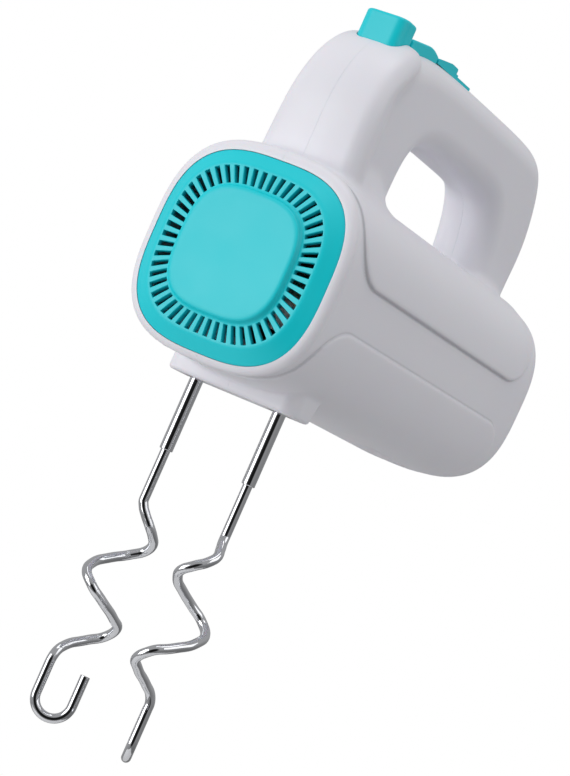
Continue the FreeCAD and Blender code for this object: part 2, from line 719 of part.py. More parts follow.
def speed_switch():
    body = box(-9, 9, 74, 113, BOARD_Z + 1.6, 105.4)
    return body.cut(box(-4.0, 4.0, 76.5, 105.5, 101.0, 108))


def microswitch():
    body = box(-4, 4, 54.5, 66.5, BOARD_Z + 1.6, 98.2)
    plunger = box(-1.2, 1.2, 59, 61, 98.0, 98.9)
    return body.fuse(plunger)


def control_board():
    board = box(-10.5, 10.5, 52, 116, BOARD_Z, BOARD_Z + 1.6)
    chips = [box(-4.5, 4.5, 90, 98, BOARD_Z - 3.0, BOARD_Z + 0.1),
             box(-3, 3, 70, 75, BOARD_Z - 3.2, BOARD_Z + 0.1),
             rod(3.2, (4, 106, BOARD_Z - 5.0), (4, 106, BOARD_Z + 0.1)),
             box(-8, -5, 80, 86, BOARD_Z - 1.6, BOARD_Z + 0.1)]
    return fuse_all([board] + chips)


def terminal_block():
    body = box(-13, 13, 184, 197, 16.4, 27.0)
    holes = []
    for x in (-8, 0, 8):
        holes.append(rod(2.4, (x, 190.5, 21), (x, 190.5, 30)))
        holes.append(rod(1.8, (x, 180, 20.2), (x, 200, 20.2)))
    return body.cut(Part.makeCompound(holes))


def capacitor():
    body = box(-12, 12, 156, 174, 16.4, 30.0)
    return body.makeFillet(1.2, edges_where(body, lambda e: e.BoundBox.ZLength > 10))


def cord_bushing():
    parts = [rod(6.0, (0, 218.5, 20), (0, 229.4, 20)), rod(9.2, (0, 226.6, 20), (0, 229.4, 20)),
             rod(8.0, (0, 218.5, 20), (0, 221.4, 20))]
    shape = fuse_all(parts)
    shape = shape.makeFillet(1.2, edges_where(shape, lambda e: abs(e.CenterOfMass.y - 229.4) < 1e-3
                                              and e.BoundBox.XLength > 15))
    return shape.cut(rod(3.6, (0, 210, 20), (0, 240, 20)))


def cord_clamp():
    bridge = box(-11, 11, 204, 211, 16.4, 26.5)
    bridge = bridge.cut(rod(3.6, (0, 200, 20), (0, 220, 20))).cut(box(-3.6, 3.6, 200, 220, 10, 20))
    for s in (-1, 1):
        bridge = bridge.cut(rod(1.3, (s * 7.6, 207.5, 10), (s * 7.6, 207.5, 30)))
    return bridge


def clamp_screws():
    screws = []
    for s in (-1, 1):
        head = rod(2.4, (s * 7.6, 207.5, 26.5), (s * 7.6, 207.5, 28.2))
        shank = rod(1.3, (s * 7.6, 207.5, 16.5), (s * 7.6, 207.5, 27.0))
        slot = box(s * 7.6 - 0.35, s * 7.6 + 0.35, 204, 211, 27.4, 29)
        screws.append(head.fuse(shank).cut(slot))
    return Part.makeCompound(screws)


def at_spindle(shape, side, phase):
    shape = shape.copy()
    shape.rotate(Vector(0, 0, 0), Vector(0, 0, 1), phase)
    shape.translate(Vector(side * SPINDLE_X, SPINDLE_Y, 0))
    return shape


def build():
    nodes = {}
    nodes["left_shell"], nodes["right_shell"] = shell_pair()
    nodes["shell_screws"] = Part.makeCompound([shell_screw(*s) for s in SCREWS])
    nodes["front_grille"] = front_grille()
    nodes["switch_bezel"] = switch_bezel()
    nodes["gear_frame"] = gear_frame()
    nodes["worm_bearing"] = bush(5.5, SHAFT_R + RUNNING, (0, 24.5, 0), (0, 29.5, 0))
    nodes["front_bearing"] = bush(5.5, SHAFT_R + RUNNING, (0, 61.0, 0), (0, 66.0, 0))
    nodes["rear_bearing"] = bush(6.0, SHAFT_R + RUNNING, (0, 131, 0), (0, 139, 0))
    nodes["motor_stator"] = stator()
    nodes["upper_field_coil"] = field_coil()
    nodes["lower_field_coil"] = field_coil().mirror(Vector(0, 0, 0), Vector(0, 0, 1))
    nodes["rear_bracket"] = rear_bracket()
    for side, name, phase, hand in ((-1, "left", LEFT_PHASE, -1), (1, "right", RIGHT_PHASE, 1)):
        x = side * SPINDLE_X
        nodes[name + "_spindle_bush"] = bush(7.0, SPINDLE_R + RUNNING,
                                             (x, SPINDLE_Y, CHIN_BOTTOM + WALL), (x, SPINDLE_Y, -39.1))
        nodes[name + "_worm_wheel"] = at_spindle(worm_wheel(), side, 0)
        nodes[name + "_spindle"] = at_spindle(spindle(), side, phase)
        nodes[name + "_detent_clip"] = at_spindle(detent_clip(), side, phase)
        nodes[name + "_hook_sleeve"] = at_spindle(hook_sleeve(), side, phase)
        nodes[name + "_hook_wire"] = at_spindle(hook_wire(hand), side, phase)
        for part, make in (("brush_holder", brush_holder), ("brush", brush),
                           ("brush_spring", brush_spring)):
            shape = make()
            nodes[name + "_" + part] = shape if side > 0 else mirrored(shape)
    nodes["motor_shaft"] = rod(SHAFT_R, (0, 25.0, 0), (0, 141.0, 0))
    nodes["worm"] = worm()
    nodes["cooling_fan"] = fan()
    nodes["armature_core"] = armature_core()
    nodes["armature_windings"] = armature_windings()
    nodes["commutator"] = commutator()
    nodes["ejector_button"] = ejector_button()
    nodes["ejector_fork"] = ejector_fork()
    nodes["ejector_spring"] = coil(4.6, 0.6, 88.0 - SHELF_Z - 2.5, 6, Vector(0, EJECT_Y, SHELF_Z + 2.5),
                                   Vector(0, 0, 1))
    nodes["turbo_button"] = turbo_button()
    nodes["turbo_spring"] = coil(2.2, 0.35, TURBO_BASE + 4.5 - BOARD_Z, 5,
                                 Vector(0, 50.2, BOARD_Z + 1.6), Vector(0, 0, 1))
    nodes["turbo_switch"] = microswitch()
    nodes["speed_slider"] = speed_slider()
    nodes["slider_contact"] = slider_contact()
    nodes["speed_switch"] = speed_switch()
    nodes["control_board"] = control_board()
    nodes["terminal_block"] = terminal_block()
    nodes["noise_capacitor"] = capacitor()
    nodes["cord_bushing"] = cord_bushing()
    nodes["cord_clamp"] = cord_clamp()
    nodes["clamp_screws"] = clamp_screws()
    return nodes


def save(nodes):
    os.makedirs("parts", exist_ok=True)
    for name, shape in nodes.items():
        moved = shape.copy()
        moved.translate(GRIP_CENTRE * -1)
        moved.exportStep(os.path.join("parts", name + ".step"))


save(build())
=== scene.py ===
"""Hand mixer with dough hooks: detailed housing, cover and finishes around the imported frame."""
import json
import math

import bmesh
import bpy
import numpy as np
from mathutils import Matrix, Vector


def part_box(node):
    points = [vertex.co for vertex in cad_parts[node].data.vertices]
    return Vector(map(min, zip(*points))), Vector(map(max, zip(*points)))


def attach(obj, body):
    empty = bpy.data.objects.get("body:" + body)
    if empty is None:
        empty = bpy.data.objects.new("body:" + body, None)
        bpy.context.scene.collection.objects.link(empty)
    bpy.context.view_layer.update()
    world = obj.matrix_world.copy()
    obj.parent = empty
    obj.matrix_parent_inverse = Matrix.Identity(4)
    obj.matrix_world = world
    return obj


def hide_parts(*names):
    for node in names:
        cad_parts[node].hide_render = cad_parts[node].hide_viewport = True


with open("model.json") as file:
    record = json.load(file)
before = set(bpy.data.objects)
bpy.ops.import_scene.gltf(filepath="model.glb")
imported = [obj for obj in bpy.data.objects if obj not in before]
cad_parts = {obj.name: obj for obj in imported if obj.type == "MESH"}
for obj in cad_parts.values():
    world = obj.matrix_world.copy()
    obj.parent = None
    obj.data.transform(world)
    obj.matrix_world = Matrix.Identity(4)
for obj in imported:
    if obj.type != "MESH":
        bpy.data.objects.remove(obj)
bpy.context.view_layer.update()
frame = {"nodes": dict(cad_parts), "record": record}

# Working frame in millimetres: x right seen from the front, y from the front cover to the
# rear, z up, (0, 0, 0) at the centre of the cover. The row's origin is the grip's centre.
# The cover's edge plate is 82 mm wide and its front edge plane is the working frame's y = 0.
MM = 0.001
cover_low, cover_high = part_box("front_grille")
shell_low, shell_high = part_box("right_shell")
ORIGIN = np.array([(cover_low.x + cover_high.x) / 2 / MM, shell_low.y / MM,
                   (cover_low.z + cover_high.z) / 2 / MM])

# barrel, whose section is a superellipse with its own half heights above and below
HALF_WIDTH = 45.0
TOP_HALF = 46.0
BOTTOM_HALF = 43.9
SQUARENESS = 3.0    # exponent of the superellipse
REAR = shell_high.y / MM - ORIGIN[1] - 0.05
REAR_ROUND = 20.0
REAR_ROUND_GAIN = 3.5    # added to the rear's edge radius towards the underside
RIM_ROUND = 4.2
RIM_FALL = (3.6, 7.2)    # y over which the rim falls to the band behind it
WALL = 2.4
CAVITY_FRONT = 5.0
COVER_HALF = 41.0
COVER_LEDGE = 2.7    # width of the ledge behind the cover

# side panels as (y0, y1, z0, z1, corner radius), standing proud of the band between them
UPPER_PANEL = (9.6, 208.0, 9.7, 170.0, 24.0)
LOWER_PANEL = (10.5, 206.0, -140.0, -10.3, 20.0)
PANEL_RISE = 1.5
LOWER_SHARE = 0.75    # the lower panel's rise as a share of the upper one's
UPPER_STEP = (-0.5, 0.6)    # distances from the outline between which a panel's step runs
LOWER_STEP = (-0.6, 0.6)
STEP_SPREAD = 2.6    # how much wider the upper panel's step is along its front edge
SPREAD_END = (11.0, 24.0)
PANEL_FADE = (196.0, 206.0)
PANEL_FADE_SHARE = 0.75

# groove at the foot of the panels' steps, made in the finish: a bump dent, with painted shade darkening
# the colour along it
GROOVE_OFFSET = 0.35    # outside the panel's outline
GROOVE_HALF = 1.0
GROOVE_DEPTH = 0.5
GROOVE_FADE = (186.0, 200.0)    # y where it runs out towards the rear
# dark grey of the painted shade along the groove
GROOVE_PAINTED_SHADE = (0.20, 0.20, 0.23, 1.0)

# chin under the front, where the hooks go in
CHIN_HALF = 31.5
CHIN_FRONT = 33.5
CHIN_REAR = 54.0
CHIN_SLOPE = 0.30    # how far the rear leans back for each millimetre up
CHIN_TOP = -30.0
CHIN_BOTTOM = -48.6
CHIN_CORNER = 6.5
CHIN_REAR_CORNER = 6.0
CHIN_EDGE = 1.4
CHIN_BLEND = 1.6

# handle: a loop of even thickness, and a wider front pillar with a crowned front
GRIP_HALF = 15.0
GRIP_ROUND = 12.5
WINDOW_ROUND = 12.0
PILLAR_HALF = 22.3
PILLAR_DRAFT = 0.06
PILLAR_DRAFT_Z = 64.0    # height at which the pillar has its nominal width
PILLAR_ROUND = 6.5
PILLAR_BACK = 30.0
PILLAR_BACK_ROUND = 9.0
SHOULDER = 12.0    # how much further back the pillar reaches at the top
SHOULDER_RISE = (80.0, 104.0)
PILLAR_BLEND = 14.0
CROWN = 1 / 300
SEAM_GAP = 0.03

# blend between handle and barrel: tight by the window, wide beside the front pillar
BLEND_REAR = 2.4
BLEND_FRONT_GAIN = 1.1
BLEND_FRONT_END = (180.0, 205.0)
BLEND_SIDE_GAIN = 13.0
BLEND_SIDE_CUT = 0.75
BLEND_SIDE_END = (50.0, 70.0)
SWEEP_X = (9.0, 17.0)
SWEEP_START = (20.0, 44.0)
SWEEP_END = (196.0, 218.0)

# screws from the left side as (y, z, depth of the head's seat), and other openings
SCREWS = ((24.0, 72.0, 10.0), (197.0, 72.0, 8.0), (76.0, -36.5, 20.0),
          (192.0, -30.0, 20.0), (150.0, 37.0, 20.0), (16.0, -33.0, 20.0))
BOSS_R = 5.0
SCREW_HEAD_R = 3.2
SCREW_R = 1.6
CORD_Z = 20.0
CORD_SEAT_R = 13.0
CORD_SEAT_Y = 224.75
CORD_SEAT_HALF = 3.25
CORD_POCKET_R = 9.6
CORD_R = 6.05
SPINDLE_X = 20.5
SPINDLE_Y = 44.5
VENT_START = 150.0
VENT_PITCH = 6.5
VENT_COUNT = 8
VENT_HALF = 15.0
VENT_WIDTH = 2.6

# grid steps of the housing surface along x, y and z
STEP = np.array([1.1, 1.45, 0.9]) * 1.0


# ---------------------------------------------------------------- distance functions
def smooth_min(a, b, k):
    """Union of two solids with a fillet about k wide."""
    h = np.clip(0.5 + 0.5 * (b - a) / k, 0.0, 1.0)
    return b + (a - b) * h - k * h * (1.0 - h)


def round_max(a, b, r):
    """Intersection of two solids whose common edge is rounded to radius r."""
    u = np.maximum(a + r, 0.0)
    v = np.maximum(b + r, 0.0)
    return np.sqrt(u * u + v * v) - r + np.minimum(np.maximum(a, b) + r, 0.0)


def ease(x, low, high):
    """Smooth step from 0 at low to 1 at high."""
    t = np.clip((x - low) / (high - low), 0.0, 1.0)
    return t * t * (3.0 - 2.0 * t)


def ramp(x, low, high):
    """Straight step from 0 at low to 1 at high."""
    return np.clip((x - low) / (high - low), 0.0, 1.0)


def smooth_loop(points, rounds=3):
    """Chaikin corner cutting of a closed outline."""
    p = np.array(points, float)
    for _ in range(rounds):
        q = np.roll(p, -1, axis=0)
        p = np.stack([0.75 * p + 0.25 * q, 0.25 * p + 0.75 * q], 1).reshape(-1, 2)
    return p


def outline_distance(loop, y, z):
    """Signed distance in the side view to a closed outline, negative inside."""
    shape = np.shape(y)
    y = np.ravel(y)
    z = np.ravel(z)
    best = np.full(y.shape, 1e18)
    inside = np.zeros(y.shape, bool)
    for (ay, az), (by, bz) in zip(loop, np.roll(loop, -1, axis=0)):
        ey, ez = by - ay, bz - az
        wy, wz = y - ay, z - az
        t = np.clip((wy * ey + wz * ez) / (ey * ey + ez * ez + 1e-12), 0.0, 1.0)
        dy, dz = wy - t * ey, wz - t * ez
        best = np.minimum(best, dy * dy + dz * dz)
        crosses = (az > z) != (bz > z)
        if bz != az:
            inside ^= crosses & (y < ay + (z - az) * ey / ez)
    d = np.sqrt(best)
    return np.where(inside, -d, d).reshape(shape)


def rounded_box_distance(y, z, y0, y1, z0, z1, radius):
    """Signed distance in the side view to a rounded rectangle."""
    dy = np.abs(y - (y0 + y1) / 2) - (y1 - y0) / 2 + radius
    dz = np.abs(z - (z0 + z1) / 2) - (z1 - z0) / 2 + radius
    outside = np.sqrt(np.maximum(dy, 0) ** 2 + np.maximum(dz, 0) ** 2)
    return outside + np.minimum(np.maximum(dy, dz), 0) - radius


# Side outlines as (y, z), rounded by corner cutting.
LOOP_OUTLINE = smooth_loop([(24, 20), (24, 50), (22, 72), (24, 88), (32, 100), (45, 107.5), (62, 111.6),
                            (90, 112.8), (130, 112.9), (180, 112.7), (195, 110.6), (203.6, 104.6),
                            (210, 95.0), (214.4, 84), (217, 73), (217.3, 62), (216, 50), (215.5, 20)])
PILLAR_OUTLINE = smooth_loop([(14, 20), (14, 46), (13.8, 64), (14.6, 75), (17.5, 85), (22.5, 94.5),
                              (29.5, 102), (38, 107.2), (50, 110.8), (62, 112.2), (72, 100), (72, 20)])
WINDOW_OUTLINE = smooth_loop([(73.5, 20), (73, 46), (73, 60), (75, 70), (82, 76.3), (100, 78.6),
                              (130, 78.3), (150, 78.0), (161, 76.3), (168, 69.6), (172.5, 59),
                              (174.5, 48), (175, 20)])


def barrel_distance(x, y, z):
    """Barrel with its front rim, side panels and rounded rear end."""
    half_z = np.where(z > 0, TOP_HALF, BOTTOM_HALF)
    base = HALF_WIDTH - PANEL_RISE
    gauge = (np.abs(x / base) ** SQUARENESS
             + np.abs(z / (half_z - PANEL_RISE)) ** SQUARENESS) ** (1 / SQUARENESS)
    reach = np.sqrt(x * x + z * z)
    side = reach * (1.0 - 1.0 / np.maximum(gauge, 1e-6))
    fade = 1.0 - PANEL_FADE_SHARE * ease(y, *PANEL_FADE)
    spread = STEP_SPREAD - (STEP_SPREAD - 1.0) * ease(y, *SPREAD_END)
    upper = 1.0 - ramp(rounded_box_distance(y, z, *UPPER_PANEL) / spread, *UPPER_STEP)
    lower = 1.0 - ramp(rounded_box_distance(y, z, *LOWER_PANEL), *LOWER_STEP)
    panels = PANEL_RISE * fade * (upper + LOWER_SHARE * lower)
    rim = PANEL_RISE * (1.0 - ease(y, *RIM_FALL))
    side = side - np.maximum(panels, rim)
    body = round_max(side, y - REAR, REAR_ROUND + REAR_ROUND_GAIN * ease(-z, -25.0, 40.0))
    return round_max(body, -y, RIM_ROUND)


def chin_distance(x, y, z):
    """Block under the front with a leaning rear."""
    side = np.abs(x) - CHIN_HALF
    rear = y - CHIN_REAR - CHIN_SLOPE * (z - CHIN_BOTTOM)
    plan = round_max(round_max(side, CHIN_FRONT - y, CHIN_CORNER), rear, CHIN_REAR_CORNER)
    return round_max(np.maximum(plan, z - CHIN_TOP), CHIN_BOTTOM - z, CHIN_EDGE)


def handle_distance(x, y, z, lookups):
    """Loop and front pillar, with the finger window cut through both."""
    loop = lookups[0](y, z)
    window = lookups[1](y, z)
    pillar = lookups[2](y - x * x * CROWN, z)
    grip = round_max(loop, np.abs(x) - GRIP_HALF, GRIP_ROUND)
    half = PILLAR_HALF - PILLAR_DRAFT * (z - PILLAR_DRAFT_Z)
    front = round_max(pillar, np.abs(x) - half, PILLAR_ROUND)
    back = PILLAR_BACK + SHOULDER * ease(z, *SHOULDER_RISE)
    front = round_max(front, y - back, PILLAR_BACK_ROUND)
    return round_max(smooth_min(grip, front, PILLAR_BLEND), -window, WINDOW_ROUND)


def housing_distance(x, y, z, lookups):
    """Whole outer form of the housing."""
    sweep = ease(np.abs(x), *SWEEP_X) * ease(y, *SWEEP_START) * (1.0 - ease(y, *SWEEP_END))
    blend = BLEND_REAR + BLEND_FRONT_GAIN * (1.0 - ease(y, *BLEND_FRONT_END))
    blend = blend + BLEND_SIDE_GAIN * sweep * (1.0 - BLEND_SIDE_CUT * ease(y, *BLEND_SIDE_END))
    joined = smooth_min(barrel_distance(x, y, z), handle_distance(x, y, z, lookups), blend)
    return smooth_min(joined, chin_distance(x, y, z), CHIN_BLEND)


# ---------------------------------------------------------------- surface from the distance
def surface_net(values, origin, step):
    """Vertices and quads of the zero surface of a grid of distances."""
    inside = values < 0
    nx, ny, nz = values.shape
    corners = [(i, j, k) for i in (0, 1) for j in (0, 1) for k in (0, 1)]
    block = [inside[i:nx - 1 + i, j:ny - 1 + j, k:nz - 1 + k] for i, j, k in corners]
    count = sum(b.astype(np.int8) for b in block)
    cells = np.argwhere((count > 0) & (count < 8))
    total = np.zeros((len(cells), 3))
    number = np.zeros(len(cells))
    for a in range(8):
        for b in range(a + 1, 8):
            ca, cb = np.array(corners[a]), np.array(corners[b])
            if np.abs(ca - cb).sum() != 1:
                continue
            va = values[tuple((cells + ca).T)]
            vb = values[tuple((cells + cb).T)]
            cut = (va < 0) != (vb < 0)
            t = np.where(cut, va / np.where(cut, va - vb, 1.0), 0.0)
            total += np.where(cut[:, None], ca + t[:, None] * (cb - ca), 0.0)
            number += cut
    vertices = origin + step * (cells + total / number[:, None])
    index = np.full((nx - 1, ny - 1, nz - 1), -1, np.int64)
    index[tuple(cells.T)] = np.arange(len(cells))
    quads = []
    for axis in range(3):
        u, v = [a for a in range(3) if a != axis]
        first = [slice(1, -1)] * 3
        first[axis] = slice(0, -1)
        second = list(first)
        second[axis] = slice(1, None)
        s0 = inside[tuple(first)]
        s1 = inside[tuple(second)]
        at = np.argwhere(s0 != s1)
        base = at.copy()
        base[:, u] += 1
        base[:, v] += 1
        around = []
        for du, dv in ((-1, -1), (0, -1), (0, 0), (-1, 0)):
            cell = base.copy()
            cell[:, u] += du
            cell[:, v] += dv
            around.append(index[tuple(cell.T)])
        quad = np.stack(around, 1)
        flip = s0[tuple(at.T)] != (axis == 1)
        quad[~flip] = quad[~flip][:, ::-1]
        quads.append(quad)
    return vertices, np.concatenate(quads)


def pull_to_surface(points, distance, reach, rounds=4):
    """Moves points along the distance's gradient onto its zero surface."""
    e = 0.05
    for _ in range(rounds):
        x, y, z = points.T
        d = distance(x, y, z)
        g = np.stack([distance(x + e, y, z) - d, distance(x, y + e, z) - d,
                      distance(x, y, z + e) - d], 1) / e
        n = np.maximum((g * g).sum(1), 0.2)
        move = -(d / n)[:, None] * g
        length = np.sqrt((move * move).sum(1))
        move *= np.minimum(1.0, reach / np.maximum(length, 1e-9))[:, None]
        points = points + move
    return points


def side_map(loop, low, high, step=0.5):
    """Bilinear lookup of an outline's distance, tabulated once on a fine side grid."""
    ys = np.arange(low[0], high[0] + step, step)
    zs = np.arange(low[1], high[1] + step, step)
    table = outline_distance(loop, *np.meshgrid(ys, zs, indexing="ij"))

    def lookup(y, z):
        fy = np.clip((y - ys[0]) / step, 0, len(ys) - 1.001)
        fz = np.clip((z - zs[0]) / step, 0, len(zs) - 1.001)
        iy, iz = fy.astype(int), fz.astype(int)
        ty, tz = fy - iy, fz - iz
        near = table[iy, iz] * (1 - tz) + table[iy, iz + 1] * tz
        far = table[iy + 1, iz] * (1 - tz) + table[iy + 1, iz + 1] * tz
        return near * (1 - ty) + far * ty

    return lookup


def finish_shell(outer, x, y, z):
    """Hollows the outer form and adds the screw bosses, the cover's ledge and the cord seat."""
    cavity = np.maximum(outer + WALL, CAVITY_FRONT - y)
    solid = np.maximum(outer, -cavity)
    posts = np.sqrt(x * x + (z - CORD_Z) ** 2) - CORD_SEAT_R
    posts = np.maximum(posts, np.abs(y - CORD_SEAT_Y) - CORD_SEAT_HALF)
    for screw_y, screw_z, _ in SCREWS:
        posts = np.minimum(posts, np.sqrt((y - screw_y) ** 2 + (z - screw_z) ** 2) - BOSS_R)
    return np.minimum(solid, np.maximum(outer, posts))


def build_half():
    """Closed right half of the housing, still whole at the seam and without its openings."""
    low = np.array([-3.1 * STEP[0], -2.5 * STEP[1], -50.0 - 2 * STEP[2]])
    high = np.array([HALF_WIDTH, REAR, 116.0]) + 2.5 * STEP
    maps = [side_map(o, (low[1] - 2, low[2] - 2), (high[1] + 2, high[2] + 2))
            for o in (LOOP_OUTLINE, WINDOW_OUTLINE, PILLAR_OUTLINE)]

    def distance(x, y, z):
        outer = housing_distance(x, y, z, maps)
        return finish_shell(outer, x, y, z)

    count = np.ceil((high - low) / STEP).astype(int) + 1
    axes = [low[i] + STEP[i] * np.arange(count[i]) for i in range(3)]
    values = distance(*np.meshgrid(*axes, indexing="ij"))
    values[0] = np.maximum(values[0], 1.0)
    vertices, quads = surface_net(values, low, STEP)
    seam = vertices[:, 0] < low[0] + 1.5 * STEP[0]
    pulled = pull_to_surface(vertices, distance, 0.5)
    return np.where(seam[:, None], vertices, pulled), quads


# ---------------------------------------------------------------- outlines and cutters
def superellipse(half, count):
    """Points evenly spaced along a rounded square, starting at the middle of its right side."""
    t = np.linspace(0.0, 2 * math.pi, 4096)
    c, s = np.cos(t), np.sin(t)
    r = (np.abs(c) ** SQUARENESS + np.abs(s) ** SQUARENESS) ** (-1 / SQUARENESS)
    x, z = half * r * c, half * r * s
    along = np.concatenate([[0.0], np.cumsum(np.hypot(np.diff(x), np.diff(z)))])
    if np.isscalar(count):
        count = np.arange(count) / count
    want = np.asarray(count) * along[-1]
    return np.stack([np.interp(want, along, x), np.interp(want, along, z)], 1)


def circle(a, b, radius, count=48):
    """Points round a circle centred on (a, b)."""
    t = np.linspace(0.0, 2 * math.pi, count, endpoint=False)
    return np.stack([a + radius * np.cos(t), b + radius * np.sin(t)], 1)


def rounded_rectangle(a0, a1, b0, b1, radius, steps=6):
    """Points round a rectangle from (a0, b0) to (a1, b1) with rounded corners."""
    points = []
    for centre_a, centre_b, turn in ((a1 - radius, b1 - radius, 0), (a0 + radius, b1 - radius, 1),
                                     (a0 + radius, b0 + radius, 2), (a1 - radius, b0 + radius, 3)):
        for i in range(steps + 1):
            t = (turn + i / steps) * math.pi / 2
            points.append((centre_a + radius * math.cos(t), centre_b + radius * math.sin(t)))
    return np.array(points)


def prism(outline, axis, start, end):
    """Closed prism of an outline given in the other two axes, in x, y, z order."""
    n = len(outline)
    others = [a for a in range(3) if a != axis]
    points = np.zeros((2 * n, 3))
    points[:n, others] = outline
    points[n:, others] = outline
    points[:n, axis] = start
    points[n:, axis] = end
    faces = [list(range(n))[::-1], list(range(n, 2 * n))]
    faces += [[i, (i + 1) % n, n + (i + 1) % n, n + i] for i in range(n)]
    if axis == 1:
        faces = [f[::-1] for f in faces]
    return points, faces


def openings(side):
    """Cutter solids of one housing half; side is 1 for the right and -1 for the left."""
    cutters = [
        # everything past the seam
        prism(rounded_rectangle(-30, 260, -90, 140, 1), 0, -12 * side, SEAM_GAP * side),
        # seat of the front cover, and the opening behind it
        prism(superellipse(COVER_HALF + 0.05, 240), 1, -5.0, 2.6),
        prism(superellipse(COVER_HALF - COVER_LEDGE, 200), 1, -6.0, 5.6),
        # ejector, turbo button, slider's slot and slider's shallow bed
        prism(rounded_rectangle(-10.65, 10.65, 28.45, 42.95, 5.3), 2, 90.0, 131.0),
        prism(rounded_rectangle(-8.3, 8.3, 45.3, 71.5, 0.6), 2, 102.0, 132.0),
        prism(rounded_rectangle(-2.8, 2.8, 78.5, 103.5, 0.8), 2, 102.0, 133.0),
        prism(rounded_rectangle(-8.4, 8.4, 70.8, 111.8, 4.7), 2, 111.3, 130.0),
        # spindle opening and the seat of its bush
        prism(circle(side * SPINDLE_X, SPINDLE_Y, 5.6), 2, -60.0, -44.0),
        prism(circle(side * SPINDLE_X, SPINDLE_Y, 7.0), 2, -46.1, -43.0),
        # pocket for the cord bushing's flange, and the bushing's bore
        prism(circle(0.0, CORD_Z, CORD_POCKET_R, 64), 1, 226.5, 240.0),
        prism(circle(0.0, CORD_Z, CORD_R), 1, 215.0, 241.0)]
    for i in range(VENT_COUNT):
        y = VENT_START + VENT_PITCH * i
        vent = rounded_rectangle(-VENT_HALF, VENT_HALF, y, y + VENT_WIDTH, 1.2, 4)
        cutters.append(prism(vent, 2, -60.0, -40.0))
    if side < 0:
        for y, z, seat in SCREWS:
            cutters.append(prism(circle(y, z, SCREW_HEAD_R, 32), 0, -70.0, -seat))
            cutters.append(prism(circle(y, z, SCREW_R, 24), 0, -seat - 1.0, -1.0))
    return cutters


def to_row(points):
    """Working millimetres to the row's metres."""
    return (np.asarray(points) + ORIGIN) * MM


def make_object(name, points, faces):
    """New mesh object in the scene from arrays of points and faces."""
    mesh = bpy.data.meshes.new(name)
    mesh.from_pydata([tuple(p) for p in points.tolist()], [], [tuple(f) for f in faces])
    mesh.update()
    obj = bpy.data.objects.new(name, mesh)
    bpy.context.scene.collection.objects.link(obj)
    return obj


def apply_modifiers(obj):
    """Replaces an object's mesh with its evaluated mesh."""
    graph = bpy.context.evaluated_depsgraph_get()
    graph.update()
    mesh = bpy.data.meshes.new_from_object(obj.evaluated_get(graph), depsgraph=graph)
    obj.modifiers.clear()
    obj.data = mesh


def outward(obj):
    """Turns all faces outward."""
    mesh = bmesh.new()
    mesh.from_mesh(obj.data)
    bmesh.ops.recalc_face_normals(mesh, faces=mesh.faces)
    mesh.to_mesh(obj.data)
    mesh.free()


def cut_with(obj, shapes):
    """Cuts closed shapes out of a closed object, one after the other."""
    for points, faces in shapes:
        cutter = make_object("cutter", to_row(points), faces)
        outward(cutter)
        cut = obj.modifiers.new("cut", "BOOLEAN")
        cut.operation = "DIFFERENCE"
        cut.solver = "MANIFOLD"
        cut.object = cutter
        apply_modifiers(obj)
        bpy.data.objects.remove(cutter)


def smooth_by_angle(obj, degrees):
    """Smooth shading with sharp edges above an angle."""
    mesh = obj.data
    mesh.polygons.foreach_set("use_smooth", [True] * len(mesh.polygons))
    mesh.set_sharp_from_angle(angle=math.radians(degrees))
    mesh.update()


# ---------------------------------------------------------------- housing halves
half_points, half_quads = build_half()
housings = {}
for side, name in ((1, "right"), (-1, "left")):
    mirrored = half_points * np.array([side, 1, 1])
    quads = half_quads if side > 0 else half_quads[:, ::-1]
    half = make_object(name + "_housing_half", to_row(mirrored), quads.tolist())
    cut_with(half, openings(side))
    smooth_by_angle(half, 40)
    housings[name] = half


# ---------------------------------------------------------------- slotted cover
SLOT_COUNT = 52
# rings from the centre of the pad to the rim as (half size, forward edge, back edge)
COVER_RINGS = ((4.0, -6.59, -3.4), (14.0, -6.59, -3.4), (23.6, -6.57, -3.4), (24.9, -6.50, -3.3),
               (25.4, -6.20, -3.0), (25.7, -5.50, -2.6), (26.1, -4.50, -1.6), (26.6, -4.10, -1.2),
               (27.1, -4.05, -1.0), (30.5, -4.00, -0.9), (34.0, -3.90, -0.7), (34.5, -3.85, -0.5),
               (35.3, -3.65, -0.2), (36.0, -3.20, 0.3), (37.6, -2.00, 1.2), (39.4, -0.75, 2.0),
               (40.55, -0.05, 2.45), (40.85, 0.25, 2.5))
SLOT_FIRST = 8    # rings between which the slots are open
SLOT_LAST = 10
SLOT_PHASES = (0.0, 0.125, 0.25, 0.5, 0.75, 0.875)    # columns of points in each slot's share
SLOT_OPEN = (2, 3)    # columns of each share that are open


